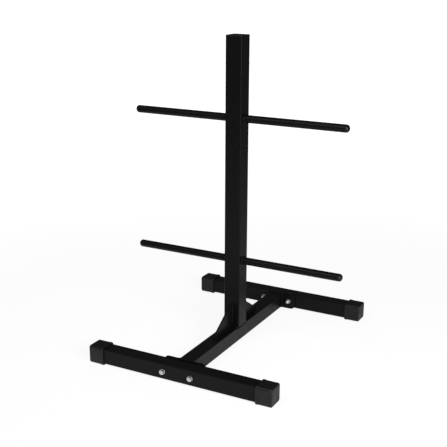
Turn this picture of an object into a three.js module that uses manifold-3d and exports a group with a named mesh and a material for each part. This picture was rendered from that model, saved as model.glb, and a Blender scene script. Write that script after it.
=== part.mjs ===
// A plate tree for weight plates: two cross feet bolted to a welded centre frame,
// and two rods through the upright that carry the plates on both sides.
// Millimetres, +Z up. The origin is on the floor, under the middle of the upright.
// The rods and the feet run along X and the centre beam runs along Y, front at -Y.

import * as THREE from 'three';
import { mergeVertices } from 'three/addons/utils/BufferGeometryUtils.js';
import Module from 'manifold-3d';

const library = await Module();
library.setup();

// Driving sizes of the whole rack
const totalHeight = 900;
const footSpan = 573;
const footSpacing = 644;
const rodLength = 668;
const upperRodHeight = 672;
const lowerRodHeight = 254;

// Square tube of the upright
const uprightSize = 50;
const uprightWall = 2;
const uprightCorner = 3;

// Square tube of the feet and the centre beam
const baseSize = 45;
const baseWall = 2;
const baseCorner = 3;

// Rods of round tube, with a domed plug in each end
const rodDiameter = 22;
const rodWall = 2;
const rodEdge = 0.4;
const plugRim = 2;
const plugDome = 8;
const plugStem = 18;
const plugStemWall = 1.8;
const plugBarb = 0.4;
const plugBarbs = 2;

// Moulded sleeves over the ends of the feet
const sleeveLength = 48;
const sleeveWall = 4;
const sleeveCorner = 5.5;
const sleeveEndWall = 4;
const sleeveEndRound = 3;
const sleeveCollar = 9;
const sleeveCollarRise = 0.5;
const sleeveCollarEase = 0.6;

// Flat plug in the top of the upright
const lidThickness = 3;
const lidEdge = 1;
const lidSkirt = 16;
const lidSkirtWall = 1.6;
const lidBarb = 0.3;
const lidBarbs = 3;

// Plates that are welded to the beam's ends and bolted to the feet
const flangeWidth = 132;
const flangeThickness = 5;
const flangeCorner = 14;
const flangeEdge = 0.5;
const flangeLiftShare = 0.65; // of the height that the sleeves hold the tube off the floor

// Triangular ribs between the upright and the beam
const gussetHeight = 72;
const gussetLength = 110;
const gussetThickness = 5;
const gussetToe = 6;
const gussetEdge = 0.5;

// Fillet welds
const uprightWeld = 5;
const uprightWeldSide = 1.2; // stand-out where the upright overhangs the beam
const flangeWeld = 5;
const rodWeld = 3.5;
const gussetWeld = 3;
const gussetRelief = 2.5; // past the upright's weld, in the corner that the rib leaves free
const weldCrown = 1.3; // power of the weld's curve: 1 is a quarter round, 2 is a flat fillet

// Hexagon bolts with flat washers and locking nuts
const boltDiameter = 8;
const boltSpacing = 87;
const boltHoleClearance = 0.5;
const boltHeadHeight = 5.3;
const boltStickOut = 3;
const boltChamfer = 1;
const hexAcross = 13;
const hexSides = 6;
const hexTopShare = 0.95; // of the width across flats, the flat circle inside the corner chamfer
const washerDiameter = 16;
const washerThickness = 1.6;
const nutHeight = 8;
const nutCollarHeight = 2.4;
const nutCollarRound = 1;

// Gap between faces that meet, and how far a cut runs past a face
const seat = 0.3;
const overrun = 5;

// Steps of the round shapes
const cornerSteps = 4;
const rodSteps = 28;
const boltSteps = 16;
const domeSteps = 4;
const edgeSteps = 3;
const weldSteps = 3;

// Places that follow from the sizes
const footLift = seat + sleeveWall + sleeveCollarRise;
const baseCentre = footLift + baseSize / 2;
const beamTop = footLift + baseSize;
const uprightBottom = beamTop + seat;
const uprightTop = totalHeight - lidThickness - seat;
const footFace = footSpacing / 2 + baseSize / 2;
const flangeOuter = footSpacing / 2 - baseSize / 2 - seat;
const flangeInner = flangeOuter - flangeThickness;
const flangeRise = footLift * flangeLiftShare;
const flangeHeight = baseSize + 2 * flangeRise;
const beamLength = 2 * (flangeInner - seat);
const footLength = footSpan - 2 * (sleeveEndWall + seat);
const rodRadius = rodDiameter / 2;
const rodTubeLength = rodLength - 2 * (plugDome + plugRim + seat);
const boltRadius = boltDiameter / 2;
const boltHoleRadius = boltRadius + boltHoleClearance;

// Finishes, one material for each mesh
const finishes = {
  powderCoat: { color: 0x1c1d1f, roughness: 0.55, metalness: 0.1 },
  mouldedPlastic: { color: 0x232325, roughness: 0.7, metalness: 0 },
  zincPlate: { color: 0xc9ccd0, roughness: 0.35, metalness: 0.9 },
};

const plateTree = new THREE.Group();

function addMesh(name, geometry, finish, parent = plateTree) {
  const mesh = new THREE.Mesh(geometry, new THREE.MeshStandardMaterial(finishes[finish]));
  mesh.name = name;
  parent.add(mesh);
  return mesh;
}

// A closed geometry as a solid that can be cut and joined, and back again
function toSolid(geometry) {
  const bare = geometry.clone();
  bare.deleteAttribute('normal');
  bare.deleteAttribute('uv');
  const merged = mergeVertices(bare);
  const mesh = new library.Mesh({
    numProp: 3,
    vertProperties: new Float32Array(merged.attributes.position.array),
    triVerts: new Uint32Array(merged.index.array),
  });
  return new library.Manifold(mesh);
}

function toGeometry(solid) {
  const mesh = solid.getMesh();
  const geometry = new THREE.BufferGeometry();
  geometry.setAttribute('position', new THREE.BufferAttribute(new Float32Array(mesh.vertProperties), 3));
  geometry.setIndex(new THREE.BufferAttribute(new Uint32Array(mesh.triVerts), 1));
  return geometry;
}

// Points of a rectangle with round corners, anticlockwise round its centre
function roundedOutline(width, depth, radius) {
  const points = [];
  const corners = [[1, 1], [-1, 1], [-1, -1], [1, -1]];
  corners.forEach(([sideX, sideY], corner) => {
    const centreX = sideX * (width / 2 - radius);
    const centreY = sideY * (depth / 2 - radius);
    for (let step = 0; step <= cornerSteps; step += 1) {
      const angle = (corner + step / cornerSteps) * (Math.PI / 2);
      points.push(new THREE.Vector2(centreX + radius * Math.cos(angle), centreY + radius * Math.sin(angle)));
    }
  });
  return points;
}

// A closed body through rounded sections that follow each other up the Z axis
function stackedBody(sections) {
  const ringSize = 4 * (cornerSteps + 1);
  const positions = [];
  const indices = [];
  sections.forEach(({ at, width, depth = width, radius }) => {
    roundedOutline(width, depth, radius).forEach((point) => positions.push(point.x, point.y, at));
  });
  for (let ring = 0; ring + 1 < sections.length; ring += 1) {
    for (let side = 0; side < ringSize; side += 1) {
      const here = ring * ringSize + side;
      const next = ring * ringSize + ((side + 1) % ringSize);
      indices.push(here, next, next + ringSize);
      indices.push(here, next + ringSize, here + ringSize);
    }
  }
  const top = (sections.length - 1) * ringSize;
  for (let side = 1; side + 1 < ringSize; side += 1) {
    indices.push(0, side + 1, side);
    indices.push(top, top + side, top + side + 1);
  }
  const geometry = new THREE.BufferGeometry();
  geometry.setAttribute('position', new THREE.Float32BufferAttribute(positions, 3));
  geometry.setIndex(indices);
  return geometry;
}

// Square tube along Z, centred on the origin
function squareTube(size, wall, corner, length) {
  const section = new THREE.Shape(roundedOutline(size, size, corner));
  section.holes.push(new THREE.Path(roundedOutline(size - 2 * wall, size - 2 * wall, corner - wall / 2)));
  const tube = new THREE.ExtrudeGeometry(section, { depth: length, bevelEnabled: false });
  return tube.translate(0, 0, -length / 2);
}

// A profile of [radius, height] points turned round the Z axis
function turned(profile, steps) {
  const points = profile.map(([radius, height]) => new THREE.Vector2(radius, height));
  return new THREE.LatheGeometry(points, steps).rotateX(Math.PI / 2);
}

// A round bar for drilling, along Z and centred on the origin
function drillBar(radius, length, steps) {
  return new THREE.CylinderGeometry(radius, radius, length, steps).rotateX(Math.PI / 2);
}

// Curve of a fillet weld, as shares of its leg: out along the face that carries it,
// and up the face that it joins, from its outer toe to its upper toe
function weldCurve() {
  const curve = [];
  for (let step = 0; step <= weldSteps; step += 1) {
    const angle = (step / weldSteps) * (Math.PI / 2);
    const out = Math.max(Math.cos(angle), 0) ** weldCrown;
    const up = Math.sin(angle) ** weldCrown;
    curve.push([out, up]);
  }
  return curve;
}

// Quarter round at the end of a body, as shares of its radius: how far the side has
// come in, and how far up the round it is
function endCurve(steps) {
  const curve = [];
  for (let step = 1; step <= steps; step += 1) {
    const angle = (step / steps) * (Math.PI / 2);
    curve.push([1 - Math.cos(angle), Math.sin(angle)]);
  }
  return curve;
}

// Weld run round the upright's foot: a fillet on top of the beam at the front and rear,
// which turns down over the beam's round corners where the upright overhangs them
function uprightWeldBody() {
  const fillet = weldCurve().map(([out, up]) => ({
    at: uprightBottom + up * uprightWeld,
    width: uprightSize + 2 * out * uprightWeldSide,
    depth: uprightSize + 2 * out * uprightWeld,
    radius: uprightCorner + out * uprightWeldSide,
  }));
  const skirt = {
    at: beamTop - uprightWeld,
    width: baseSize + 2 * (seat + uprightWeldSide / 2),
    depth: uprightSize + 2 * uprightWeld,
    radius: uprightCorner,
  };
  return toSolid(stackedBody([skirt, ...fillet]));
}

// Weld ring round a rod, standing on one side of the upright and reaching into its wall
function rodWeldBody(height, side) {
  const ring = weldCurve().map(([out, up]) => [rodRadius + out * rodWeld, up * rodWeld]);
  const inWall = -uprightWall / 2;
  const weld = turned([[0, inWall], [rodRadius + rodWeld, inWall], ...ring, [0, rodWeld]], rodSteps);
  weld.rotateY(side * (Math.PI / 2)).translate(side * (uprightSize / 2), 0, height);
  return toSolid(weld);
}

// The upright's tube, with its foot weld, and on each side a hole and a weld ring for each rod
function addUpright() {
  const height = uprightTop - uprightBottom;
  const tube = squareTube(uprightSize, uprightWall, uprightCorner, height);
  tube.translate(0, 0, uprightBottom + height / 2);
  const boreSize = uprightSize - 2 * uprightWall;
  const bore = stackedBody([beamTop - uprightWeld - overrun, uprightBottom + uprightWeld + overrun].map((at) => (
    { at, width: boreSize, radius: uprightCorner - uprightWall / 2 }
  )));
  const beam = stackedBody([-uprightSize, uprightSize].map((at) => (
    { at, width: baseSize + 2 * seat, radius: baseCorner + seat }
  )));
  beam.rotateX(Math.PI / 2).translate(0, 0, baseCentre);
  let upright = toSolid(tube).add(uprightWeldBody().subtract(toSolid(bore))).subtract(toSolid(beam));
  [upperRodHeight, lowerRodHeight].forEach((rodHeight) => {
    const drill = drillBar(rodRadius + seat, uprightSize + 2 * (rodWeld + overrun), rodSteps);
    drill.rotateY(Math.PI / 2).translate(0, 0, rodHeight);
    [-1, 1].forEach((side) => {
      upright = upright.add(rodWeldBody(rodHeight, side));
    });
    upright = upright.subtract(toSolid(drill));
  });
  addMesh('upright', toGeometry(upright), 'powderCoat');
}

// Flat plug in the upright's open top, with a barbed skirt inside the tube
function addLid() {
  const skirtSize = uprightSize - 2 * (uprightWall + seat);
  const skirtCorner = uprightCorner - uprightWall / 2 - seat;
  const coreSize = skirtSize - 2 * lidBarb;
  const barbPitch = lidSkirt / lidBarbs;
  const sections = [];
  for (let barb = 0; barb < lidBarbs; barb += 1) {
    const at = -seat - lidSkirt + barb * barbPitch;
    sections.push({ at, width: coreSize, radius: skirtCorner });
    sections.push({ at: at + barbPitch / 2, width: skirtSize, radius: skirtCorner });
  }
  sections.push({ at: -seat, width: coreSize, radius: skirtCorner });
  sections.push({ at: 0, width: coreSize, radius: skirtCorner });
  sections.push({ at: 0, width: uprightSize, radius: uprightCorner });
  sections.push({ at: lidThickness - lidEdge, width: uprightSize, radius: uprightCorner });
  endCurve(edgeSteps).forEach(([inward, up]) => sections.push({
    at: lidThickness - lidEdge + up * lidEdge,
    width: uprightSize - 2 * inward * lidEdge,
    radius: uprightCorner - inward * lidEdge,
  }));
  const hollow = stackedBody([-lidSkirt - overrun, 0].map((at) => (
    { at, width: coreSize - 2 * lidSkirtWall, radius: skirtCorner }
  )));
  const lid = toSolid(stackedBody(sections)).subtract(toSolid(hollow));
  addMesh('upright_top_plug', toGeometry(lid), 'mouldedPlastic').position.z = totalHeight - lidThickness;
}

// Rod: one tube, which passes through both sides of the upright
function addRod(name, height) {
  const bore = rodRadius - rodWall;
  const end = rodTubeLength / 2;
  const upperHalf = [[rodRadius, end - rodEdge], [rodRadius - rodEdge, end], [bore, end]];
  const lowerHalf = upperHalf.map(([radius, along]) => [radius, -along]).reverse();
  const profile = [...lowerHalf, ...upperHalf, lowerHalf[0]];
  const rod = addMesh(name, turned(profile, rodSteps), 'powderCoat');
  rod.rotation.y = Math.PI / 2;
  rod.position.z = height;
}

// Domed plug in a rod's end, with a hollow barbed stem inside the tube
function addRodPlug(name, height, side) {
  const stem = rodRadius - rodWall - seat;
  const core = stem - plugBarb;
  const barbPitch = plugStem / plugBarbs;
  const profile = [[0, -seat], [core - plugStemWall, -seat], [core - plugStemWall, -seat - plugStem]];
  for (let barb = 0; barb < plugBarbs; barb += 1) {
    const at = -seat - plugStem + barb * barbPitch;
    profile.push([core, at]);
    profile.push([stem, at + barbPitch / 2]);
  }
  profile.push([core, -seat], [core, 0], [rodRadius - rodEdge, 0], [rodRadius, rodEdge], [rodRadius, plugRim]);
  endCurve(domeSteps).forEach(([inward, up]) => {
    profile.push([Math.max(rodRadius * (1 - inward), 0), plugRim + up * plugDome]);
  });
  const plug = addMesh(name, turned(profile, rodSteps), 'mouldedPlastic');
  plug.rotation.y = side * (Math.PI / 2);
  plug.position.set(side * (rodTubeLength / 2 + seat), 0, height);
}

// Centre beam, with a weld run round each end where it butts on the flange plate
function addBeam() {
  const tube = squareTube(baseSize, baseWall, baseCorner, beamLength);
  const bore = stackedBody([-beamLength / 2 - overrun, beamLength / 2 + overrun].map((at) => (
    { at, width: baseSize - 2 * baseWall, radius: baseCorner - baseWall / 2 }
  )));
  let welds = null;
  [-1, 1].forEach((side) => {
    const sections = weldCurve().map(([out, up]) => ({
      at: side * (beamLength / 2 - up * flangeWeld),
      width: baseSize + 2 * out * flangeWeld,
      depth: baseSize + 2 * out * flangeRise,
      radius: baseCorner + out * flangeRise,
    }));
    const weld = toSolid(stackedBody(side < 0 ? sections : sections.reverse()));
    welds = welds ? welds.add(weld) : weld;
  });
  const beam = addMesh('centre_beam', toGeometry(toSolid(tube).add(welds.subtract(toSolid(bore)))), 'powderCoat');
  beam.rotation.x = Math.PI / 2;
  beam.position.z = baseCentre;
}

// Flange plate with round corners and two bolt holes, standing between beam and foot
function addFlange(name, side) {
  const inset = 2 * flangeEdge;
  const outline = new THREE.Shape(roundedOutline(flangeWidth, flangeHeight, flangeCorner));
  [-1, 1].forEach((end) => {
    const hole = new THREE.Path();
    hole.absarc(end * (boltSpacing / 2), 0, boltHoleRadius, 0, 2 * Math.PI, true);
    outline.holes.push(hole);
  });
  const plate = new THREE.ExtrudeGeometry(outline, {
    depth: flangeThickness - inset,
    curveSegments: boltSteps / 2,
    bevelThickness: flangeEdge,
    bevelSize: flangeEdge,
    bevelOffset: -flangeEdge,
    bevelSegments: 1,
  });
  plate.translate(0, 0, flangeEdge - flangeThickness / 2).rotateX(Math.PI / 2);
  addMesh(name, plate, 'powderCoat').position.set(0, side * (flangeInner + flangeThickness / 2), baseCentre);
}

// Straight weld bead along Z, in the corner of the X and Y axes, reaching a little
// into the plate that carries it on the side of -X
function weldBead(leg, length, bite) {
  const section = new THREE.Shape();
  section.moveTo(-bite, 0);
  weldCurve().forEach(([out, up]) => section.lineTo(out * leg, up * leg));
  section.lineTo(-bite, leg);
  return new THREE.ExtrudeGeometry(section, { depth: length, bevelEnabled: false });
}

// Triangular rib in the plane of X, outward from the upright, and Y, upward, with blunt
// toes, a free corner over the upright's weld, and a bead on both sides of both legs
function gussetGeometry() {
  const relief = uprightWeld + gussetRelief;
  const outline = new THREE.Shape([
    new THREE.Vector2(relief, 0),
    new THREE.Vector2(gussetLength, 0),
    new THREE.Vector2(gussetLength, gussetToe),
    new THREE.Vector2(gussetToe, gussetHeight),
    new THREE.Vector2(0, gussetHeight),
    new THREE.Vector2(0, relief),
  ]);
  const plate = new THREE.ExtrudeGeometry(outline, {
    depth: gussetThickness - 2 * gussetEdge,
    bevelThickness: gussetEdge,
    bevelSize: gussetEdge,
    bevelOffset: -gussetEdge,
    bevelSegments: 1,
  });
  plate.translate(0, 0, gussetEdge - gussetThickness / 2);
  let gusset = toSolid(plate);
  const bite = gussetThickness / 4;
  [-1, 1].forEach((face) => {
    const across = new THREE.Vector3(0, 0, face);
    const outward = new THREE.Vector3(1, 0, 0);
    const upward = new THREE.Vector3(0, 1, 0);
    const legs = [
      { away: upward, run: outward, length: gussetLength - relief },
      { away: outward, run: upward, length: gussetHeight - relief },
    ];
    legs.forEach(({ away, run, length }) => {
      const bead = weldBead(gussetWeld, length, bite);
      const along = new THREE.Vector3().crossVectors(across, away);
      const start = run.clone().multiplyScalar(along.dot(run) > 0 ? relief : relief + length);
      start.addScaledVector(across, gussetThickness / 2);
      bead.applyMatrix4(new THREE.Matrix4().makeBasis(across, away, along).setPosition(start));
      gusset = gusset.add(toSolid(bead));
    });
  });
  return toGeometry(gusset);
}

function addGusset(name, side) {
  const turn = new THREE.Group();
  turn.rotation.z = side * (Math.PI / 2);
  turn.position.set(0, side * (uprightSize / 2 + seat), beamTop + seat);
  plateTree.add(turn);
  addMesh(name, gussetGeometry(), 'powderCoat', turn).rotation.x = Math.PI / 2;
}

// Foot: a tube along X with the bolts' holes through its front and rear walls
function addFoot(name, side) {
  let foot = toSolid(squareTube(baseSize, baseWall, baseCorner, footLength));
  [-1, 1].forEach((end) => {
    const drill = new THREE.CylinderGeometry(boltHoleRadius, boltHoleRadius, baseSize + 2 * overrun, boltSteps);
    drill.translate(0, 0, end * (boltSpacing / 2));
    foot = foot.subtract(toSolid(drill));
  });
  const mesh = addMesh(name, toGeometry(foot), 'powderCoat');
  mesh.rotation.y = Math.PI / 2;
  mesh.position.set(0, side * (footSpacing / 2), baseCentre);
}

// Sleeve over a foot's end: mouth at Z = 0 with a raised collar, closed and rounded end at +Z
function sleeveGeometry() {
  const body = baseSize + 2 * (seat + sleeveWall);
  const collar = body + 2 * sleeveCollarRise;
  const sections = [
    { at: 0, width: collar - 2 * sleeveCollarEase, radius: sleeveCorner - sleeveCollarEase },
    { at: sleeveCollarEase, width: collar, radius: sleeveCorner + sleeveCollarRise },
    { at: sleeveCollar - sleeveCollarEase, width: collar, radius: sleeveCorner + sleeveCollarRise },
    { at: sleeveCollar, width: body, radius: sleeveCorner },
    { at: sleeveLength - sleeveEndRound, width: body, radius: sleeveCorner },
  ];
  endCurve(edgeSteps).forEach(([inward, up]) => sections.push({
    at: sleeveLength - sleeveEndRound + up * sleeveEndRound,
    width: body - 2 * inward * sleeveEndRound,
    radius: sleeveCorner - inward * sleeveEndRound,
  }));
  const hollow = stackedBody([-overrun, sleeveLength - sleeveEndWall].map((at) => (
    { at, width: baseSize + 2 * seat, radius: baseCorner + seat }
  )));
  return toGeometry(toSolid(stackedBody(sections)).subtract(toSolid(hollow)));
}

function addSleeve(name, footSide, end) {
  const sleeve = addMesh(name, sleeveGeometry(), 'mouldedPlastic');
  sleeve.rotation.y = end * (Math.PI / 2);
  sleeve.position.set(end * (footSpan / 2 - sleeveLength), footSide * (footSpacing / 2), baseCentre);
}

// Hexagonal prism from Z = 0 up, with its upper corners chamfered at 30 degrees
function chamferedHexagon(height) {
  const cornerRadius = hexAcross / Math.sqrt(3);
  const topRadius = (hexAcross / 2) * hexTopShare;
  const prism = new THREE.CylinderGeometry(cornerRadius, cornerRadius, height, hexSides);
  const cone = new THREE.CylinderGeometry(topRadius, topRadius + height * Math.sqrt(3), height, boltSteps);
  [prism, cone].forEach((shape) => shape.rotateX(Math.PI / 2).translate(0, 0, height / 2));
  return toSolid(prism).intersect(toSolid(cone));
}

// Bolt with the bearing face of its head at Z = 0 and its shank down to -length
function boltGeometry(length) {
  const shank = turned([
    [0, -length],
    [boltRadius - boltChamfer, -length],
    [boltRadius, boltChamfer - length],
    [boltRadius, boltHeadHeight / 2],
    [0, boltHeadHeight / 2],
  ], boltSteps);
  return toGeometry(chamferedHexagon(boltHeadHeight).add(toSolid(shank)));
}

// Locking nut with its bearing face at Z = 0 and the round collar of its insert on top
function nutGeometry() {
  const hexHeight = nutHeight - nutCollarHeight;
  const collarRadius = (hexAcross / 2) * hexTopShare;
  const profile = [[0, hexHeight / 2], [collarRadius, hexHeight / 2], [collarRadius, nutHeight - nutCollarRound]];
  endCurve(edgeSteps).forEach(([inward, up]) => {
    profile.push([collarRadius - inward * nutCollarRound, nutHeight - nutCollarRound + up * nutCollarRound]);
  });
  profile.push([0, nutHeight]);
  const bore = drillBar(boltRadius + seat, 2 * (nutHeight + overrun), boltSteps);
  const body = chamferedHexagon(hexHeight).add(toSolid(turned(profile, boltSteps)));
  return toGeometry(body.subtract(toSolid(bore)));
}

// Flat washer from Z = 0 up
function washerGeometry() {
  const hole = boltRadius + seat;
  const rim = washerDiameter / 2;
  return turned([[hole, 0], [rim, 0], [rim, washerThickness], [hole, washerThickness], [hole, 0]], boltSteps);
}

// One bolted joint. In its group the foot's outer face is at Z = 0 and +Z points away from the rack.
function addBoltedJoint(name, side, end) {
  const joint = new THREE.Group();
  joint.rotation.x = -side * (Math.PI / 2);
  joint.position.set(end * (boltSpacing / 2), side * footFace, baseCentre);
  plateTree.add(joint);

  const headFace = washerThickness + 2 * seat;
  const plateFace = -(baseSize + seat + flangeThickness);
  const nutWasherFace = plateFace - seat - washerThickness;
  const nutFace = nutWasherFace - seat;
  const boltLength = headFace - nutFace + nutHeight + boltStickOut;

  addMesh(`${name}_bolt`, boltGeometry(boltLength), 'zincPlate', joint).position.z = headFace;
  addMesh(`${name}_bolt_washer`, washerGeometry(), 'zincPlate', joint).position.z = seat;
  addMesh(`${name}_nut_washer`, washerGeometry(), 'zincPlate', joint).position.z = nutWasherFace;
  const nut = addMesh(`${name}_nut`, nutGeometry(), 'zincPlate', joint);
  nut.rotation.x = Math.PI;
  nut.position.z = nutFace;
}

addUpright();
addLid();
addBeam();

[['upper', upperRodHeight], ['lower', lowerRodHeight]].forEach(([level, height]) => {
  addRod(`${level}_rod`, height);
  addRodPlug(`${level}_rod_left_plug`, height, -1);
  addRodPlug(`${level}_rod_right_plug`, height, 1);
});

[['front', -1], ['rear', 1]].forEach(([place, side]) => {
  addFlange(`${place}_flange_plate`, side);
  addGusset(`${place}_gusset`, side);
  addFoot(`${place}_foot`, side);
  [['left', -1], ['right', 1]].forEach(([hand, end]) => {
    addSleeve(`${place}_foot_${hand}_sleeve`, side, end);
    addBoltedJoint(`${place}_${hand}`, side, end);
  });
});

export default plateTree;
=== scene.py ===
# Plate tree: finishes, welds, fasteners, camera and studio round the CAD frame.
# Shapes are worked out in millimetres and put in place in metres.

import math

import bmesh
import bpy
from mathutils import Matrix, Vector, noise


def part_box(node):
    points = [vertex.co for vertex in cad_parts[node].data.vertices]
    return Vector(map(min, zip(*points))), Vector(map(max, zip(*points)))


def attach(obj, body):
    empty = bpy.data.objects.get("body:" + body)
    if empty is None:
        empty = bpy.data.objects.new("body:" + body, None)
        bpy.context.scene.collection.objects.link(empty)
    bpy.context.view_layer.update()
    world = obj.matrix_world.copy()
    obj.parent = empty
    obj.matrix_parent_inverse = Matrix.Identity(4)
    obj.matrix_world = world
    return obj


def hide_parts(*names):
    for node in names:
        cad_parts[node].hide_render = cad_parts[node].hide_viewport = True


mm = 0.001
mergeGap = 0.0005  # mm, points closer than this are one point
crease = 32  # degrees, edges that turn further than this stay sharp
sides = {"left": -1, "right": 1}  # along X
ends = {"front": -1, "rear": 1}  # along Y

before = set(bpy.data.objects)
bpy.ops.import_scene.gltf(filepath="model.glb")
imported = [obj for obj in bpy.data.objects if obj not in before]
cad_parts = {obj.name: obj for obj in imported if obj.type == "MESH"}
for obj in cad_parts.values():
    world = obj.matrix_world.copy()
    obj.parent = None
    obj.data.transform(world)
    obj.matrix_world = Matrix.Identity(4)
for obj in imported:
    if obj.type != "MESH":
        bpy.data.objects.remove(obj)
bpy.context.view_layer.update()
print("frame loaded:", len(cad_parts), "CAD pieces")


# Camera, placed and aimed so that the rack lies on the photograph's outline

cameraSetup = {
    "place": (1123.5, -2177.9, 1097.7),  # mm
    "turn": 28.135,  # degrees round the rack, from straight in front
    "down": 18.397,  # degrees below the horizon
    "roll": 0.261,
    "focalPixels": 879.023,
    "imageSize": 447,
    "centreRow": 250,  # the row that the lens looks at, below the picture's middle
    "sensor": 36,
}


def makeCamera(setup):
    data = bpy.data.cameras.new("camera")
    data.sensor_width = setup["sensor"]
    data.lens = setup["sensor"] * setup["focalPixels"] / setup["imageSize"]
    data.shift_y = (setup["centreRow"] - setup["imageSize"] / 2) / setup["imageSize"]
    data.clip_start = 0.05
    data.clip_end = 200
    camera = bpy.data.objects.new("camera", data)
    bpy.context.scene.collection.objects.link(camera)
    turn = Matrix.Rotation(math.radians(setup["turn"]), 4, "Z")
    tilt = Matrix.Rotation(math.radians(90 - setup["down"]), 4, "X")
    roll = Matrix.Rotation(math.radians(setup["roll"]), 4, "Z")
    camera.matrix_world = Matrix.Translation(Vector(setup["place"]) * mm) @ turn @ tilt @ roll
    bpy.context.scene.camera = camera


makeCamera(cameraSetup)
print("camera set")


# Materials

def linearColour(text):  # sRGB hex to linear
    channels = [int(text[start:start + 2], 16) / 255 for start in (0, 2, 4)]
    return [c / 12.92 if c <= 0.04045 else ((c + 0.055) / 1.055) ** 2.4 for c in channels] + [1]


def addNode(tree, kind, inputs=None, **settings):  # inputs are values, or sockets to link
    node = tree.nodes.new(kind)
    for name, value in settings.items():
        setattr(node, name, value)
    for name, value in (inputs or {}).items():
        if isinstance(value, bpy.types.NodeSocket):
            tree.links.new(value, node.inputs[name])
        else:
            node.inputs[name].default_value = value
    return node


def newMaterial(name):
    material = bpy.data.materials.new(name)
    material.use_nodes = True
    material.node_tree.nodes.clear()
    return material, material.node_tree


def patternScale(size):  # noise scale for features of this size in mm
    return 1 / (size * mm)


colourA, colourB, colourOut = 6, 7, 2  # sockets of a Mix node that blends colours


coatLook = {
    "dark": "101011",
    "light": "151516",
    "cloudSize": 14,  # mm, the slow change from pass to pass of the spray gun
    "peelSize": 2.2,  # a real peel is near 1.5 mm; a little coarser, so that it shows at all
    "peelDepth": 0.13,
    "roughLow": 0.34,
    "roughHigh": 0.44,
    "specular": 0.14,
}


def powderCoat(look):
    # Black polyester powder, sprayed on blasted steel tube and baked: an even satin whose
    # orange peel breaks every highlight into soft, slightly wavy streaks.
    material, tree = newMaterial("blackPowderCoat")
    position = addNode(tree, "ShaderNodeTexCoord").outputs["Object"]
    cloud = addNode(tree, "ShaderNodeTexNoise", {
        "Vector": position, "Scale": patternScale(look["cloudSize"]), "Detail": 3,
        "Roughness": 0.6})
    peel = addNode(tree, "ShaderNodeTexNoise", {
        "Vector": position, "Scale": patternScale(look["peelSize"]), "Detail": 2,
        "Roughness": 0.45})
    tone = addNode(tree, "ShaderNodeMix", {
        "Factor": cloud.outputs["Fac"], colourA: linearColour(look["dark"]),
        colourB: linearColour(look["light"])}, data_type="RGBA")
    rough = addNode(tree, "ShaderNodeMapRange", {
        "Value": cloud.outputs["Fac"], "From Min": 0.3, "From Max": 0.7,
        "To Min": look["roughLow"], "To Max": look["roughHigh"]})
    bump = addNode(tree, "ShaderNodeBump", {
        "Height": peel.outputs["Fac"], "Strength": 0.6, "Distance": look["peelDepth"] * mm})
    shader = addNode(tree, "ShaderNodeBsdfPrincipled", {
        "Base Color": tone.outputs[colourOut], "Roughness": rough.outputs["Result"],
        "Specular IOR Level": look["specular"], "Normal": bump.outputs["Normal"]})
    addNode(tree, "ShaderNodeOutputMaterial", {"Surface": shader.outputs["BSDF"]})
    return material


grainedLook = {
    "dark": "0d0d0e",
    "light": "111112",
    "flowSize": 22,  # mm, how far apart the marks of the flowing melt are
    "grainSize": 1.1,  # spark-eroded grain is near 0.3 mm; coarser, so that it shows at all
    "grainDepth": 0.05,
    "roughLow": 0.44,
    "roughHigh": 0.58,
    "specular": 0.43,
}
polishedLook = {
    "dark": "0b0b0c",
    "light": "0e0e0f",
    "flowSize": 9,
    "grainSize": 1.6,  # the faint waves that a hand-polished mould leaves
    "grainDepth": 0.02,
    "roughLow": 0.36,
    "roughHigh": 0.44,
    "specular": 0.4,
}


def mouldedPlastic(name, look):
    # Black polyethylene, injection moulded. The sleeves come from a spark-eroded mould: a dry,
    # slightly grey matt grain, a little glossier where the melt flowed last. The rod plugs come
    # from a polished one, so that their domes carry a small clear highlight.
    material, tree = newMaterial(name)
    position = addNode(tree, "ShaderNodeTexCoord").outputs["Object"]
    flow = addNode(tree, "ShaderNodeTexNoise", {
        "Vector": position, "Scale": patternScale(look["flowSize"]), "Detail": 2,
        "Distortion": 0.6})
    grain = addNode(tree, "ShaderNodeTexNoise", {
        "Vector": position, "Scale": patternScale(look["grainSize"]), "Detail": 3,
        "Roughness": 0.65})
    tone = addNode(tree, "ShaderNodeMix", {
        "Factor": flow.outputs["Fac"], colourA: linearColour(look["dark"]),
        colourB: linearColour(look["light"])}, data_type="RGBA")
    rough = addNode(tree, "ShaderNodeMapRange", {
        "Value": flow.outputs["Fac"], "From Min": 0.3, "From Max": 0.7,
        "To Min": look["roughHigh"], "To Max": look["roughLow"]})
    bump = addNode(tree, "ShaderNodeBump", {
        "Height": grain.outputs["Fac"], "Strength": 0.7, "Distance": look["grainDepth"] * mm})
    shader = addNode(tree, "ShaderNodeBsdfPrincipled", {
        "Base Color": tone.outputs[colourOut], "Roughness": rough.outputs["Result"],
        "Specular IOR Level": look["specular"], "Normal": bump.outputs["Normal"]})
    addNode(tree, "ShaderNodeOutputMaterial", {"Surface": shader.outputs["BSDF"]})
    return material


zincLook = {
    "cool": "ccd1d9",
    "warm": "dcd9ce",
    "tintSize": 6,  # mm, the patches of the passivation's colour
    "dentSize": 1.2,  # mm, the marks of tumbling; the zinc's own crystals are too fine to show
    "dentDepth": 0.01,
    "roughLow": 0.28,
    "roughHigh": 0.4,
}


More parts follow.
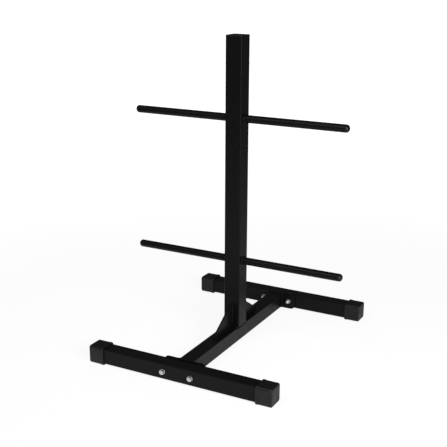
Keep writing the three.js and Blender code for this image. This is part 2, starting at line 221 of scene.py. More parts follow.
def zincPlate(look):
    # Cold-headed steel with bright zinc plating, barrel plated and passivated: a bluish
    # silver with faint warm patches, and dents and rubs from tumbling that dull it unevenly.
    material, tree = newMaterial("barrelZincPlate")
    position = addNode(tree, "ShaderNodeTexCoord").outputs["Object"]
    tint = addNode(tree, "ShaderNodeTexNoise", {
        "Vector": position, "Scale": patternScale(look["tintSize"]), "Detail": 2})
    dents = addNode(tree, "ShaderNodeTexNoise", {
        "Vector": position, "Scale": patternScale(look["dentSize"]), "Detail": 3,
        "Roughness": 0.7})
    tone = addNode(tree, "ShaderNodeMix", {
        "Factor": tint.outputs["Fac"], colourA: linearColour(look["cool"]),
        colourB: linearColour(look["warm"])}, data_type="RGBA")
    rough = addNode(tree, "ShaderNodeMapRange", {
        "Value": dents.outputs["Fac"], "From Min": 0.3, "From Max": 0.7,
        "To Min": look["roughLow"], "To Max": look["roughHigh"]})
    bump = addNode(tree, "ShaderNodeBump", {
        "Height": dents.outputs["Fac"], "Strength": 0.4, "Distance": look["dentDepth"] * mm})
    shader = addNode(tree, "ShaderNodeBsdfPrincipled", {
        "Base Color": tone.outputs[colourOut], "Metallic": 1.0,
        "Roughness": rough.outputs["Result"], "Normal": bump.outputs["Normal"]})
    addNode(tree, "ShaderNodeOutputMaterial", {"Surface": shader.outputs["BSDF"]})
    return material


nylonLook = {"dark": "cfcdc2", "light": "e2e0d6", "cloudSize": 3, "roughness": 0.45}


def naturalNylon(look):
    # Undyed polyamide ring, moulded and rolled into the nut: a milky off-white, waxy sheen.
    material, tree = newMaterial("naturalNylon")
    position = addNode(tree, "ShaderNodeTexCoord").outputs["Object"]
    cloud = addNode(tree, "ShaderNodeTexNoise", {
        "Vector": position, "Scale": patternScale(look["cloudSize"]), "Detail": 2})
    tone = addNode(tree, "ShaderNodeMix", {
        "Factor": cloud.outputs["Fac"], colourA: linearColour(look["dark"]),
        colourB: linearColour(look["light"])}, data_type="RGBA")
    shader = addNode(tree, "ShaderNodeBsdfPrincipled", {
        "Base Color": tone.outputs[colourOut], "Roughness": look["roughness"]})
    addNode(tree, "ShaderNodeOutputMaterial", {"Surface": shader.outputs["BSDF"]})
    return material


coat = powderCoat(coatLook)
plastic = mouldedPlastic("grainedPolyethylene", grainedLook)
plugPlastic = mouldedPlastic("polishedPolyethylene", polishedLook)
zinc = zincPlate(zincLook)
nylon = naturalNylon(nylonLook)
print("materials made")


# Shared steps: measuring the CAD pieces

def spanOf(node):  # lowest and highest corner of a CAD piece, in mm
    low, high = (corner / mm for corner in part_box(node))
    return low, high


def middleOf(node):
    low, high = spanOf(node)
    return (low + high) / 2


def farAndNear(node, end):  # the Y of its face away from the rack's middle, and towards it
    low, high = spanOf(node)
    return (high.y, low.y) if ends[end] > 0 else (low.y, high.y)


# Shared steps: from a bmesh in mm to a finished piece

def shadeByAngle(mesh, sharpAngle):
    mesh.shade_smooth()
    mesh.set_sharp_from_angle(angle=math.radians(sharpAngle))


def meshObject(bm, name, place=Matrix()):
    bmesh.ops.remove_doubles(bm, verts=bm.verts[:], dist=mergeGap)
    bmesh.ops.transform(bm, matrix=Matrix.Scale(mm, 4) @ place, verts=bm.verts[:])
    bmesh.ops.recalc_face_normals(bm, faces=bm.faces[:])
    mesh = bpy.data.meshes.new(name)
    bm.to_mesh(mesh)
    bm.free()
    made = bpy.data.objects.new(name, mesh)
    bpy.context.scene.collection.objects.link(made)
    return made


def finishPiece(bm, name, material, node=None, place=Matrix(), sharpAngle=crease):
    piece = meshObject(bm, name, place)
    piece.data.materials.append(material)
    shadeByAngle(piece.data, sharpAngle)
    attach(piece, "root")
    if node:
        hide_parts(node)
    return piece


def combine(piece, tools, operation):  # cuts or joins with each tool, then drops it
    for tool in tools:
        change = piece.modifiers.new("combine", "BOOLEAN")
        change.operation = operation
        change.solver = "EXACT"
        change.object = tool
        seen = piece.evaluated_get(bpy.context.evaluated_depsgraph_get())
        result = bpy.data.meshes.new_from_object(seen)
        piece.modifiers.remove(change)
        piece.data = result
        bpy.data.objects.remove(tool)
    shadeByAngle(piece.data, crease)


def flattenNormals(piece):  # keeps large flat faces flat beside their rounded edges
    even = piece.modifiers.new("flatNormals", "WEIGHTED_NORMAL")
    even.keep_sharp = True
    even.weight = 90


# Shared steps: shaping

def crossSection(width, depth, corner, segments):  # one flat face with round corners
    bm = bmesh.new()
    bmesh.ops.create_grid(bm, x_segments=1, y_segments=1, size=0.5)  # a square of 1 mm
    bmesh.ops.scale(bm, vec=(width, depth, 1), verts=bm.verts[:])
    bmesh.ops.bevel(bm, geom=bm.verts[:], offset=corner, offset_type="OFFSET",
                    segments=segments, profile=0.5, affect="VERTICES", material=-1)
    return bm


def newVerts(made):
    return [part for part in made["geom"] if isinstance(part, bmesh.types.BMVert)]


def pullUp(bm, faces, height):  # extrudes faces along Z
    raised = newVerts(bmesh.ops.extrude_face_region(bm, geom=faces))
    bmesh.ops.translate(bm, vec=(0, 0, height), verts=raised)


def stepUp(bm, faces, height):  # as pullUp, on a face of a solid, which the pull replaces
    pullUp(bm, faces, height)
    bmesh.ops.delete(bm, geom=faces, context="FACES_ONLY")


def extrudeRing(bm, edges):  # a band of faces out of a ring of edges, with its new far ring
    made = bmesh.ops.extrude_edge_only(bm, edges=edges)
    verts = newVerts(made)
    fresh = set(verts)
    return verts, [part for part in made["geom"] if isinstance(part, bmesh.types.BMEdge)
                   and fresh.issuperset(part.verts)]


def liesAt(part, height):  # flat at this height
    return all(abs(vert.co.z - height) < mergeGap for vert in part.verts)


def flatFaces(bm, height):  # the largest first
    found = [face for face in bm.faces if liesAt(face, height)]
    return sorted(found, key=lambda face: -face.calc_area())


def edgesAt(bm, height):
    return [edge for edge in bm.edges if liesAt(edge, height)]


def hollowOut(bm, wall):  # turns one flat face into a ring as wide as the wall
    rim = bmesh.ops.inset_region(bm, faces=bm.faces[:], thickness=wall, use_boundary=True,
                                 use_even_offset=True)["faces"]
    inner = [face for face in bm.faces if face not in rim]
    bmesh.ops.delete(bm, geom=inner, context="FACES")


def roundEdges(bm, edges, radius, segments):
    bmesh.ops.bevel(bm, geom=edges, offset=radius, offset_type="OFFSET", segments=segments,
                    profile=0.5, affect="EDGES", clamp_overlap=True, material=-1)


def arc(centre, radii, start, end, steps):  # points of an arc, angles in degrees
    angles = [math.radians(start + (end - start) * step / steps) for step in range(steps + 1)]
    return [(centre[0] + radii[0] * math.cos(angle), centre[1] + radii[1] * math.sin(angle))
            for angle in angles]


def turned(profile, segments, closed=False):  # spins points (radius, height) round Z
    bm = bmesh.new()
    verts = [bm.verts.new((max(radius, 0), 0, height)) for radius, height in profile]
    pairs = list(zip(verts, verts[1:])) + ([(verts[-1], verts[0])] if closed else [])
    for pair in pairs:
        bm.edges.new(pair)
    bmesh.ops.spin(bm, geom=bm.verts[:] + bm.edges[:], cent=(0, 0, 0), axis=(0, 0, 1),
                   angle=2 * math.pi, steps=segments, use_merge=True)
    bmesh.ops.remove_doubles(bm, verts=bm.verts[:], dist=mergeGap)
    bmesh.ops.dissolve_degenerate(bm, edges=bm.edges[:], dist=mergeGap)
    return bm


def along(axis, flip=1):  # turns +Z to point along X or Y, or against it
    if axis == "X":
        return Matrix.Rotation(math.radians(90 * flip), 4, "Y")
    return Matrix.Rotation(math.radians(-90 * flip), 4, "X")


drillLook = {"length": 120, "segments": 48}  # mm, longer than anything that is drilled


def drill(radius, centre, axis):
    bm = bmesh.new()
    bmesh.ops.create_cone(bm, cap_ends=True, segments=drillLook["segments"],
                          radius1=radius, radius2=radius, depth=drillLook["length"])
    return meshObject(bm, "drill", Matrix.Translation(centre) @ along(axis))


# Square tubes: upright, centre beam and feet

uprightTube = {"wall": 2, "corner": 3}
baseTube = {"wall": 2, "corner": 3}
tubeCornerSegments = 8
boltHole = 9  # mm across

rodLow, rodHigh = spanOf("upper_rod")
rodRadius = (rodHigh.z - rodLow.z) / 2
rodHeights = {level: middleOf(level + "_rod").z for level in ("upper", "lower")}
lidLow, lidHigh = spanOf("upright_top_plug")
uprightSize = lidHigh.x - lidLow.x
footLow, footHigh = spanOf("front_foot")
baseSize = footHigh.y - footLow.y
baseMiddle = middleOf("front_foot").z
beamTop = footHigh.z
boltCentres = {(end, side): middleOf(f"{end}_{side}_bolt") for end in ends for side in sides}


def squareTube(size, look, length):  # along Z, from 0 up
    bm = crossSection(size, size, look["corner"], tubeCornerSegments)
    hollowOut(bm, look["wall"])
    pullUp(bm, bm.faces[:], length)
    return bm


def makeUpright():
    length = spanOf("upright")[1].z - beamTop
    piece = finishPiece(squareTube(uprightSize, uprightTube, length), "uprightTube", coat,
                        "upright", Matrix.Translation((0, 0, beamTop)))
    holes = [drill(rodRadius, (0, 0, height), "X") for height in rodHeights.values()]
    combine(piece, holes, "DIFFERENCE")
    flattenNormals(piece)


def makeBeam():
    low, high = spanOf("centre_beam")
    start = Matrix.Translation((0, low.y, baseMiddle)) @ along("Y")
    piece = finishPiece(squareTube(baseSize, baseTube, high.y - low.y), "beamTube", coat,
                        "centre_beam", start)
    flattenNormals(piece)


def makeFoot(end):
    node = end + "_foot"
    low, high = spanOf(node)
    middle = middleOf(node)
    start = Matrix.Translation((low.x, middle.y, middle.z)) @ along("X")
    piece = finishPiece(squareTube(baseSize, baseTube, high.x - low.x), end + "FootTube", coat,
                        node, start)
    holes = []
    for side in sides:
        centre = boltCentres[end, side]
        holes.append(drill(boltHole / 2, (centre.x, middle.y, centre.z), "Y"))
    combine(piece, holes, "DIFFERENCE")
    flattenNormals(piece)


makeUpright()
makeBeam()
for end in ends:
    makeFoot(end)
print("square tubes made")


# Rods and their domed plugs

rodLook = {"wall": 2, "segments": 96}
plugLook = {
    "rim": 1,
    "rimEdge": 0.6,
    "rimSteps": 4,
    "stemWall": 1.8,
    "stemLength": 18,
    "stemGap": 0.4,
    "domeSteps": 14,
    "crease": 40,
}


def makeRod(level):
    node = level + "_rod"
    low, high = spanOf(node)
    middle = middleOf(node)
    bm = bmesh.new()
    bmesh.ops.create_circle(bm, cap_ends=True, segments=rodLook["segments"], radius=rodRadius)
    hollowOut(bm, rodLook["wall"])
    pullUp(bm, bm.faces[:], high.x - low.x)
    start = Matrix.Translation((low.x, middle.y, middle.z)) @ along("X")
    finishPiece(bm, level + "RodTube", coat, node, start)


def makeRodPlug(level, side):
    node = f"{level}_rod_{side}_plug"
    rodEnd = spanOf(level + "_rod")[1].x
    rim, edge = plugLook["rim"], plugLook["rimEdge"]
    dome = spanOf(level + "_rod_right_plug")[1].x - rodEnd - rim
    stem = rodRadius - rodLook["wall"] - plugLook["stemGap"]
    bore = stem - plugLook["stemWall"]
    stemEnd = -plugLook["stemLength"]
    profile = [(0, 0), (bore, 0), (bore, stemEnd), (stem, stemEnd), (stem, 0)]
    profile += arc((rodRadius - edge, edge), (edge, edge), -90, 0, plugLook["rimSteps"])
    profile += arc((0, rim), (rodRadius, dome), 0, 90, plugLook["domeSteps"])
    start = Matrix.Translation((sides[side] * rodEnd, 0, middleOf(node).z))
    start = start @ along("X", sides[side])
    finishPiece(turned(profile, rodLook["segments"]), f"{level}Rod{side.title()}Plug",
                plugPlastic, node, start, plugLook["crease"])


for level in rodHeights:
    makeRod(level)
    for side in sides:
        makeRodPlug(level, side)
print("rods made")


# Moulded sleeves over the feet's ends, and the flat plug in the upright

sleeveLook = {
    "wall": 3.7,
    "endWall": 4,
    "corner": 7.5,
    "boreCorner": 3.2,
    "endRound": 4.5,
    "collar": 9,
    "collarRise": 0.8,
    "collarEdge": 0.6,
    "mouthEdge": 2,
    "cornerSegments": 10,
    "edgeSegments": 3,
}


def isCollarRim(edge, size):  # the collar's outer edge, and not the foot of its step
    reach = size / 2 - sleeveLook["corner"]
    steep = 0.5  # a wall's normal rises less than this
    return (all(max(abs(vert.co.x), abs(vert.co.y)) > reach for vert in edge.verts)
            and any(abs(face.normal.z) < steep
                    and face.calc_center_median().z < sleeveLook["collar"]
                    for face in edge.link_faces))


def sleeveShell(size, length):  # solid, along Z from the mouth at 0
    rise, collar = sleeveLook["collarRise"], sleeveLook["collar"]
    corners, edging = sleeveLook["cornerSegments"], sleeveLook["edgeSegments"]
    bm = crossSection(size, size, sleeveLook["corner"] + rise, corners)
    pullUp(bm, bm.faces[:], collar)
    bmesh.ops.recalc_face_normals(bm, faces=bm.faces[:])
    bmesh.ops.inset_region(bm, faces=flatFaces(bm, collar), thickness=rise, use_boundary=True,
                           use_even_offset=True)
    stepUp(bm, flatFaces(bm, collar)[:1], length - collar)
    bmesh.ops.recalc_face_normals(bm, faces=bm.faces[:])
    roundEdges(bm, edgesAt(bm, length), sleeveLook["endRound"], corners)
    collarRim = [edge for edge in edgesAt(bm, collar) if isCollarRim(edge, size)]
    roundEdges(bm, collarRim, sleeveLook["collarEdge"], edging)
    roundEdges(bm, edgesAt(bm, 0), sleeveLook["mouthEdge"], edging)
    return bm


def makeSleeve(end, side):
    node = f"{end}_foot_{side}_sleeve"
    low, high = spanOf(node)
    middle = middleOf(node)
    size, length = high.y - low.y, high.x - low.x
    start = Matrix.Translation((sides[side] * (abs(middle.x) - length / 2), middle.y, middle.z))
    start = start @ along("X", sides[side])
    piece = finishPiece(sleeveShell(size, length), f"{end}Sleeve{side.title()}", plastic,
                        node, start)
    bore = size - 2 * (sleeveLook["collarRise"] + sleeveLook["wall"])
    core = crossSection(bore, bore, sleeveLook["boreCorner"], sleeveLook["cornerSegments"])
    pullUp(core, core.faces[:], length)
    coreStart = start @ Matrix.Translation((0, 0, -sleeveLook["endWall"]))
    combine(piece, [meshObject(core, "core", coreStart)], "DIFFERENCE")
    flattenNormals(piece)


lidLook = {
    "thickness": 3,
    "edge": 1,
    "edgeSegments": 5,
    "corner": 3,
    "skirt": 16,
    "skirtWall": 1.6,
    "skirtCorner": 2.5,
    "skirtGap": 0.6,
    "skirtRoot": 1,  # mm, how far the skirt reaches into the plate that it grows from
}


def makeLid():
    bm = crossSection(uprightSize, uprightSize, lidLook["corner"], tubeCornerSegments)
    pullUp(bm, bm.faces[:], lidLook["thickness"])
    roundEdges(bm, edgesAt(bm, lidLook["thickness"]), lidLook["edge"], lidLook["edgeSegments"])
    start = Matrix.Translation((0, 0, lidHigh.z - lidLook["thickness"]))
    piece = finishPiece(bm, "uprightLid", plastic, "upright_top_plug", start)
    boreSize = uprightSize - 2 * (uprightTube["wall"] + lidLook["skirtGap"])
    skirt = crossSection(boreSize, boreSize, lidLook["skirtCorner"], tubeCornerSegments)
    hollowOut(skirt, lidLook["skirtWall"])
    pullUp(skirt, skirt.faces[:], -lidLook["skirt"] - lidLook["skirtRoot"])
    skirtStart = start @ Matrix.Translation((0, 0, lidLook["skirtRoot"]))
    combine(piece, [meshObject(skirt, "skirt", skirtStart)], "UNION")
    flattenNormals(piece)


for end in ends:
    for side in sides:
        makeSleeve(end, side)
makeLid()
print("mouldings made")


# Flange plates and gussets

plateLook = {"corner": 14, "cornerSegments": 12, "edge": 0.6, "edgeSegments": 3}
gussetLook = {"thickness": 5, "toe": 6, "relief": 7.5, "edge": 0.6, "edgeSegments": 3}


def makeFlange(end):
    node = end + "_flange_plate"
    low, high = spanOf(node)
    middle = middleOf(node)
    thickness = high.y - low.y
    bm = crossSection(high.x - low.x, high.z - low.z, plateLook["corner"],
                      plateLook["cornerSegments"])
    pullUp(bm, bm.faces[:], thickness)
    rims = edgesAt(bm, 0) + edgesAt(bm, thickness)
    roundEdges(bm, rims, plateLook["edge"], plateLook["edgeSegments"])
    start = Matrix.Translation((0, low.y, middle.z)) @ along("Y")
    piece = finishPiece(bm, end + "FlangePlate", coat, node, start)
    holes = [drill(boltHole / 2, (boltCentres[end, side].x, middle.y, middle.z), "Y")
             for side in sides]
    combine(piece, holes, "DIFFERENCE")
    flattenNormals(piece)


def makeGusset(end):
    node = end + "_gusset"
    low, high = spanOf(node)
    length, height = high.y - low.y, high.z - low.z
    toe, relief, thickness = gussetLook["toe"], gussetLook["relief"], gussetLook["thickness"]
    outline = [(relief, 0), (length, 0), (length, toe), (toe, height), (0, height), (0, relief)]
    bm = bmesh.new()
    bm.faces.new([bm.verts.new((out, up, 0)) for out, up in outline])
    pullUp(bm, bm.faces[:], thickness)
    bmesh.ops.recalc_face_normals(bm, faces=bm.faces[:])
    roundEdges(bm, bm.edges[:], gussetLook["edge"], gussetLook["edgeSegments"])
    # the outline's two directions become outwards along Y and up, its thickness lies along X
    basis = Matrix(((0, 0, 1, 0), (ends[end], 0, 0, 0), (0, 1, 0, 0), (0, 0, 0, 1)))
    start = Matrix.Translation((-thickness / 2, farAndNear(node, end)[1], low.z)) @ basis
    piece = finishPiece(bm, end + "GussetPlate", coat, node, start)
    flattenNormals(piece)


for end in ends:
    makeFlange(end)
    makeGusset(end)
print("plates made")


# Weld runs: coated beads with the faint ripples that the pool leaves as it freezes

weldLook = {
    "pitch": 2.5,  # mm from ripple to ripple
    "stepsPerRipple": 6,
    "sectionSides": 16,
    "rippleShare": 0.018,  # of the bead's radius
    "swellShare": 0.05,
    "swellPace": 0.5,  # changes of width for each ripple
    "wander": 0.2,
    "wanderPace": 0.3,
    "seed": 7.3,
    "cornerSteps": 6,
    "ringSteps": 72,
    "crease": 75,
}
rodWeld = {"radius": 3.1, "offset": 0.2}
footWeld = {"radius": 3.9, "offset": 0.2}
flangeWeld = {"radius": 3.3, "offset": 0.1}
gussetWeld = {"radius": 2.4, "offset": 0.2, "endGap": 2}


def unevenness(turn, ripples, pace):  # a noise that meets itself after a full turn
    reach = ripples * pace / (2 * math.pi)
    return noise.noise(Vector((reach * math.cos(turn), reach * math.sin(turn), weldLook["seed"])))


def beadRing(index, count):  # width and drift of the bead at this step
    ripples = count / weldLook["stepsPerRipple"]
    turn = 2 * math.pi * index / count
    ripple = math.sin(math.pi * index / weldLook["stepsPerRipple"]) ** 2
    swell = 1 + weldLook["rippleShare"] * ripple
    swell *= 1 + weldLook["swellShare"] * unevenness(turn, ripples, weldLook["swellPace"])
    return swell, weldLook["wander"] * unevenness(turn, ripples, weldLook["wanderPace"])


def weldBead(points, closed, radius):  # a tube swept along points in mm
    bm = bmesh.new()
    count = len(points)
    verts = bmesh.ops.create_circle(bm, cap_ends=not closed, segments=weldLook["sectionSides"],
                                    radius=radius)["verts"]
    edges = list({edge for vert in verts for edge in vert.link_edges})
    firstEdges = edges
    carried = Matrix.Identity(4)
    for index, point in enumerate(points):
        before = points[index - 1] if index or closed else point
        after = points[(index + 1) % count] if index + 1 < count or closed else point
        heading = (after - before).normalized()
        if index:
            aim = lastHeading.rotation_difference(heading) @ aim
            verts, edges = extrudeRing(bm, edges)
        else:
            aim = heading.to_track_quat("Z", "Y")
        lastHeading = heading
        swell, drift = beadRing(index, count)
        target = Matrix.Translation(point + Vector((0, 0, drift)))
        target = target @ aim.to_matrix().to_4x4() @ Matrix.Scale(swell, 4)
        bmesh.ops.transform(bm, matrix=target @ carried.inverted(), verts=verts)
        carried = target
    if closed:
        bmesh.ops.bridge_loops(bm, edges=firstEdges + edges)
    else:
        bmesh.ops.edgeloop_fill(bm, edges=edges)
    return bm


def evenRoute(corners, closed):  # points at even steps along straight lines between corners
    points = [Vector(corner) for corner in corners]
    legs = list(zip(points, points[1:] + ([points[0]] if closed else [])))
    total = sum((finish - start).length for start, finish in legs)
    count = max(2, round(total / weldLook["pitch"])) * weldLook["stepsPerRipple"]
    route = []
    for step in range(count if closed else count + 1):
        left = total * step / count
        for start, finish in legs:
            length = (finish - start).length
            if left <= length or (start, finish) == legs[-1]:
                route.append(start.lerp(finish, min(left / length, 1)))
                break
            left -= length
    return route


def makeWeld(name, routes, closed, radius):
    bm = bmesh.new()
    for route in routes:
        single = weldBead(route, closed, radius)
        mesh = bpy.data.meshes.new("bead")
        single.to_mesh(mesh)
        single.free()
        bm.from_mesh(mesh)
        bpy.data.meshes.remove(mesh)
    finishPiece(bm, name, coat, sharpAngle=weldLook["crease"])


def loopRoute(width, depth, corner, height):  # rounded rectangle in the XY plane
    points = []
    for centreX, centreY, start in ((1, 1, 0), (-1, 1, 90), (-1, -1, 180), (1, -1, 270)):
        centre = (centreX * (width / 2 - corner), centreY * (depth / 2 - corner))
        bend = arc(centre, (corner, corner), start, start + 90, weldLook["cornerSteps"])
        points += [(x, y, height) for x, y in bend]
    return points


def rodWeldRoute(side, height):
    reach = rodRadius + rodWeld["offset"]
    ring = arc((0, height), (reach, reach), 0, 360, weldLook["ringSteps"])[:-1]
    line = sides[side] * (uprightSize / 2 + rodWeld["offset"])
    return evenRoute([(line, y, z) for y, z in ring], True)


def uprightFootRoute():  # drops over the round corners of the narrower beam
    offset = footWeld["offset"]
    reach = uprightSize / 2 + offset
    sideReach = baseSize / 2 + offset
    flat = baseSize / 2 - baseTube["corner"]
    points = []
    for x, y, z in loopRoute(2 * sideReach, 2 * reach, uprightTube["corner"], beamTop + offset):
        over = max(abs(x) - flat, 0) / (sideReach - flat)
        points.append((x, y, z - over ** 2 * (baseTube["corner"] + 2 * offset)))
    return evenRoute(points, True)


def flangeRoute(end):
    offset = flangeWeld["offset"]
    reach = baseSize + 2 * offset
    line = farAndNear(end + "_flange_plate", end)[1] - ends[end] * offset
    loop = loopRoute(reach, reach, baseTube["corner"] + offset, 0)
    return evenRoute([(x, line, baseMiddle + z) for x, z, _ in loop], True)


def gussetRoutes(end):  # along both legs, on both sides of the plate
    node = end + "_gusset"
    low, high = spanOf(node)
    tip, root = farAndNear(node, end)
    outward = ends[end]
    relief, offset, gap = gussetLook["relief"], gussetWeld["offset"], gussetWeld["endGap"]
    routes = []
    for side in sides.values():
        x = side * (gussetLook["thickness"] / 2 + offset)
        y = root + outward * offset
        z = low.z + offset
        routes.append(evenRoute([(x, root + outward * relief, z), (x, tip - outward * gap, z)],
                                False))
        routes.append(evenRoute([(x, y, low.z + relief), (x, y, high.z - gap)], False))
    return routes


for level, height in rodHeights.items():
    rings = [rodWeldRoute(side, height) for side in sides]
    makeWeld(level + "RodWelds", rings, True, rodWeld["radius"])
makeWeld("uprightFootWeld", [uprightFootRoute()], True, footWeld["radius"])
for end in ends:
    makeWeld(end + "FlangeWeld", [flangeRoute(end)], True, flangeWeld["radius"])
    makeWeld(end + "GussetWelds", gussetRoutes(end), False, gussetWeld["radius"])
print("welds made")


# Bolts, washers and locking nuts

hexLook = {
    "across": 13,
    "chamferShare": 0.94,  # of the width across flats
    "chamferAngle": 30,
    "coneReach": 1.05,  # times the hexagon's corners
    "coneStart": -1,  # below the seat of a head, which has no chamfer there
    "segments": 64,
}
boltLook = {
    "radius": 4,
    "pitch": 1.25,
    "threadDepth": 0.6,
    "threadShown": 14,  # mm of thread that is cut at the end; the rest is out of sight
    "crestShare": 0.12,  # of half a pitch, flat on the crest and again in the root
    "tipChamfer": 1,
    "stepsRound": 32,
    "stepsPerTurn": 8,
    "shankRoot": 0.5,  # mm, how far the shank reaches into the head
}
nutLook = {
    "collar": 2.4,
    "collarStep": 0.1,
    "collarRound": 0.9,
    "collarSteps": 6,
    "lip": 0.2,
    "recess": 0.5,  # from the lip down to the collar's floor
    "boreGap": 0.3,
    "insertInner": 4.05,
    "insertThick": 1.6,
    "insertSunk": 0.35,  # below the lip
    "insertGap": 0.02,
    "insertSegments": 48,
}
washerLook = {"innerGap": 0.4, "edge": 0.25, "segments": 64, "crease": 50}


def chamferedHexagon(height, bothEnds):  # prism from 0 up, and the cone that turns its corners off
    prism = bmesh.new()
    corner = hexLook["across"] / math.sqrt(3)
    bmesh.ops.create_cone(prism, cap_ends=True, segments=6, radius1=corner, radius2=corner,
                          depth=height)
    bmesh.ops.translate(prism, vec=(0, 0, height / 2), verts=prism.verts[:])
    flat = hexLook["across"] / 2 * hexLook["chamferShare"]
    wide = corner * hexLook["coneReach"]
    drop = (wide - flat) * math.tan(math.radians(hexLook["chamferAngle"]))
    low = hexLook["coneStart"]
    profile = [(0, height), (flat, height), (wide, height - drop)]
    profile += [(wide, drop), (flat, 0), (0, 0)] if bothEnds else [(wide, low), (0, low)]
    return prism, turned(profile, hexLook["segments"])


def makeHexagon(name, node, height, bothEnds, start):
    prism, cone = chamferedHexagon(height, bothEnds)
    piece = finishPiece(prism, name, zinc, node, start)
    combine(piece, [meshObject(cone, "cone", start)], "INTERSECT")
    return piece


def threadRadius(up, turn):  # at a height above the tip, and a share of a full turn
    groove = abs(((up / boltLook["pitch"] - turn) % 1) * 2 - 1)
    crest = boltLook["crestShare"]
    groove = min(max((groove - crest) / (1 - 2 * crest), 0), 1)
    return min(boltLook["radius"] - boltLook["threadDepth"] * groove,
               boltLook["radius"] - boltLook["tipChamfer"] + up)


def threadedRod(length):  # along Z from -length to 0, with a cut thread near its lower end
    bm = bmesh.new()
    stepHeight = boltLook["pitch"] / boltLook["stepsPerTurn"]
    count = round(boltLook["threadShown"] / stepHeight)
    bmesh.ops.create_circle(bm, cap_ends=True, segments=boltLook["stepsRound"],
                            radius=boltLook["radius"])
    bmesh.ops.translate(bm, vec=(0, 0, -length), verts=bm.verts[:])
    edges = bm.edges[:]
    for step in range(count + 1):
        rise = stepHeight if step < count else length - boltLook["threadShown"]
        verts, edges = extrudeRing(bm, edges)
        bmesh.ops.translate(bm, vec=(0, 0, rise), verts=verts)
    bmesh.ops.edgeloop_fill(bm, edges=edges)
    for vert in bm.verts:
        up = vert.co.z + length
        if up > boltLook["threadShown"]:
            continue
        radius = threadRadius(up, math.atan2(vert.co.y, vert.co.x) / (2 * math.pi))
        flat = math.hypot(vert.co.x, vert.co.y)
        vert.co.x *= radius / flat
        vert.co.y *= radius / flat
    return bm


def makeBolt(end, side):
    node = f"{end}_{side}_bolt"
    middle = middleOf(node)
    headTop, tip = farAndNear(node, end)
    seat = farAndNear(node + "_washer", end)[0]
    start = Matrix.Translation((middle.x, seat, middle.z)) @ along("Y", ends[end])
    bolt = makeHexagon(f"{end}{side.title()}Bolt", node, abs(headTop - seat), False, start)
    shank = threadedRod(abs(tip - seat))
    shankStart = start @ Matrix.Translation((0, 0, boltLook["shankRoot"]))
    combine(bolt, [meshObject(shank, "shank", shankStart)], "UNION")


def makeWasher(end, side, kind):
    node = f"{end}_{side}_{kind.lower()}_washer"
    low, high = spanOf(node)
    middle = middleOf(node)
    inner = boltLook["radius"] + washerLook["innerGap"]
    outer, thick, edge = (high.x - low.x) / 2, high.y - low.y, washerLook["edge"]
    profile = [(inner, 0), (outer - edge, 0), (outer, edge), (outer, thick - edge),
               (outer - edge, thick), (inner, thick)]
    start = Matrix.Translation((middle.x, low.y, middle.z)) @ along("Y")
    finishPiece(turned(profile, washerLook["segments"], closed=True),
                f"{end}{side.title()}{kind}Washer", zinc, node, start,
                washerLook["crease"])


def makeNut(end, side):
    node = f"{end}_{side}_nut"
    label = f"{end}{side.title()}Nut"
    middle = middleOf(node)
    seat, top = farAndNear(node, end)
    height = abs(top - seat)
    start = Matrix.Translation((middle.x, seat, middle.z)) @ along("Y", -ends[end])
    hexHeight = height - nutLook["collar"]
    nut = makeHexagon(label, node, hexHeight, True, start)

    wide = hexLook["across"] / 2 * hexLook["chamferShare"] - nutLook["collarStep"]
    bend = nutLook["collarRound"]
    lip = wide - bend - nutLook["lip"]
    floor = height - nutLook["recess"]
    collar = [(0, hexHeight / 2), (wide, hexHeight / 2)]
    collar += arc((wide - bend, height - bend), (bend, bend), 0, 90, nutLook["collarSteps"])
    collar += [(lip, height), (lip, floor), (0, floor)]
    collarTool = meshObject(turned(collar, hexLook["segments"]), "collar", start)
    combine(nut, [collarTool], "UNION")
    bore = drill(boltLook["radius"] + nutLook["boreGap"], (middle.x, seat, middle.z), "Y")
    combine(nut, [bore], "DIFFERENCE")

    inner, outer = nutLook["insertInner"], lip - nutLook["insertGap"]
    base, face = height - nutLook["insertThick"], height - nutLook["insertSunk"]
    insert = [(inner, base), (outer, base), (outer, face), (inner, face)]
    finishPiece(turned(insert, nutLook["insertSegments"], closed=True), label + "Insert",
                nylon, place=start)


for end in ends:
    for side in sides:
        makeBolt(end, side)
        for kind in ("Bolt", "Nut"):
            makeWasher(end, side, kind)
        makeNut(end, side)
print("fasteners made")


# Studio

studio = {
    "floorSize": 60,
    "floorColour": "e9e9e8",
    "glow": 1.18,  # plain white share and lit paper share come to white together
    "nearShare": 0.75,  # of the plain white, so that the rack keeps a faint shadow
    "farShare": 1.0,
    "shareReach": (0.7, 3.5),  # m from the rack, from the near share to the far one
    # painted light: only reflections see the floor glow in a pool round the rack, a painted pool
    # of light that shows as highlights on the rack
    "paintedPoolCentre": (-0.3, -0.4, 0),
    "paintedPoolReach": (0.2, 1.7),  # m, out to where reflections still see the painted pool of light, and where they see none
    "nearPaintedPoolShare": 0.54,
    "farPaintedPoolShare": 0.0,
    "worldDiffuse": 0.09,
    "worldGlossy": 0.07,
}
lampAim = {"target": (0, 0, 0.1), "spread": 120}
lamps = {
    "key": {"power": 18, "size": 1.2, "place": (2.0, -1.3, 1.0), "glossy": True},
    "fill": {"power": 8.9, "size": 1.5, "place": (-0.5, -1.8, 2.4), "glossy": True},
    # the back lamp lifts the far sides without a glare on the tops
    "back": {"power": 7, "size": 1.4, "place": (-1.6, 2.2, 1.1), "glossy": False},
}


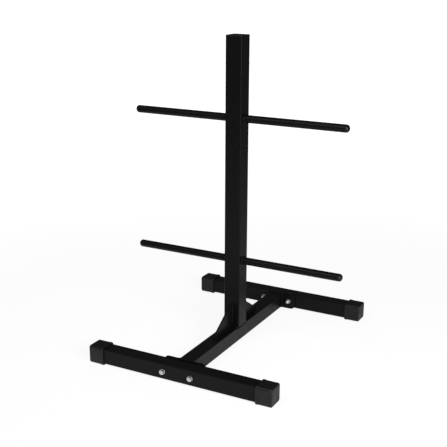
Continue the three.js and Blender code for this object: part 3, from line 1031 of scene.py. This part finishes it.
def makeFloor():
    bm = bmesh.new()
    bmesh.ops.create_grid(bm, x_segments=1, y_segments=1, size=studio["floorSize"] / 2)
    mesh = bpy.data.meshes.new("floor")
    bm.to_mesh(mesh)
    bm.free()
    floor = bpy.data.objects.new("floor", mesh)
    bpy.context.scene.collection.objects.link(floor)
    material, tree = newMaterial("studioPaper")
    rays = addNode(tree, "ShaderNodeLightPath").outputs
    position = addNode(tree, "ShaderNodeTexCoord").outputs["Object"]
    fromRack = addNode(tree, "ShaderNodeVectorMath", {0: position}, operation="LENGTH")
    # painted light: glow in a pool round the rack that only glossy and transmission rays see,
    # painted highlights on the rack
    fromPaintedPool = addNode(tree, "ShaderNodeVectorMath", {0: position, 1: studio["paintedPoolCentre"]},
                       operation="DISTANCE")
    seen = addNode(tree, "ShaderNodeMapRange", {
        "Value": fromRack.outputs["Value"], "From Min": studio["shareReach"][0],
        "From Max": studio["shareReach"][1], "To Min": studio["nearShare"],
        "To Max": studio["farShare"]}, interpolation_type="SMOOTHSTEP")
    mirrored = addNode(tree, "ShaderNodeMapRange", {
        "Value": fromPaintedPool.outputs["Value"], "From Min": studio["paintedPoolReach"][0],
        "From Max": studio["paintedPoolReach"][1], "To Min": studio["nearPaintedPoolShare"],
        "To Max": studio["farPaintedPoolShare"]}, interpolation_type="SMOOTHSTEP")
    gloss = addNode(tree, "ShaderNodeMath", {
        0: rays["Is Glossy Ray"], 1: rays["Is Transmission Ray"]}, operation="MAXIMUM")
    direct = addNode(tree, "ShaderNodeMath", {
        0: rays["Is Camera Ray"], 1: seen.outputs["Result"]}, operation="MULTIPLY")
    paintedPoolSeen = addNode(tree, "ShaderNodeMath", {
        0: gloss.outputs[0], 1: mirrored.outputs["Result"]}, operation="MULTIPLY")
    share = addNode(tree, "ShaderNodeMath", {
        0: direct.outputs[0], 1: paintedPoolSeen.outputs[0]}, operation="ADD")
    paper = addNode(tree, "ShaderNodeBsdfDiffuse", {"Color": linearColour(studio["floorColour"])})
    glow = addNode(tree, "ShaderNodeEmission", {"Color": (1, 1, 1, 1), "Strength": studio["glow"]})
    blend = addNode(tree, "ShaderNodeMixShader", {
        0: share.outputs[0], 1: paper.outputs[0], 2: glow.outputs[0]})
    addNode(tree, "ShaderNodeOutputMaterial", {"Surface": blend.outputs[0]})
    mesh.materials.append(material)


def makeWorld():
    world = bpy.data.worlds.new("studio")
    bpy.context.scene.world = world
    world.use_nodes = True
    tree = world.node_tree
    tree.nodes.clear()
    rays = addNode(tree, "ShaderNodeLightPath").outputs
    mirrored = addNode(tree, "ShaderNodeMath", {
        0: rays["Is Glossy Ray"], 1: rays["Is Transmission Ray"]}, operation="MAXIMUM")
    dim = addNode(tree, "ShaderNodeMapRange", {
        "Value": mirrored.outputs[0], "To Min": studio["worldDiffuse"],
        "To Max": studio["worldGlossy"]})
    strength = addNode(tree, "ShaderNodeMapRange", {
        "Value": rays["Is Camera Ray"], "To Min": dim.outputs[0], "To Max": 1.0})
    sky = addNode(tree, "ShaderNodeBackground", {
        "Color": (1, 1, 1, 1), "Strength": strength.outputs[0]})
    addNode(tree, "ShaderNodeOutputWorld", {"Surface": sky.outputs[0]})


def makeLamp(name, setup):
    data = bpy.data.lights.new(name, "AREA")
    data.shape = "RECTANGLE"
    data.size = data.size_y = setup["size"]
    data.energy = setup["power"]
    data.spread = math.radians(lampAim["spread"])
    lamp = bpy.data.objects.new(name, data)
    bpy.context.scene.collection.objects.link(lamp)
    lamp.location = setup["place"]
    lamp.rotation_mode = "QUATERNION"
    aim = Vector(lampAim["target"]) - Vector(setup["place"])
    lamp.rotation_quaternion = aim.to_track_quat("-Z", "Y")
    lamp.visible_glossy = setup["glossy"]


makeFloor()
makeWorld()
for lampName, lampSetup in lamps.items():
    makeLamp(lampName + "Lamp", lampSetup)
bpy.context.scene.view_settings.view_transform = "Standard"
print("studio set")
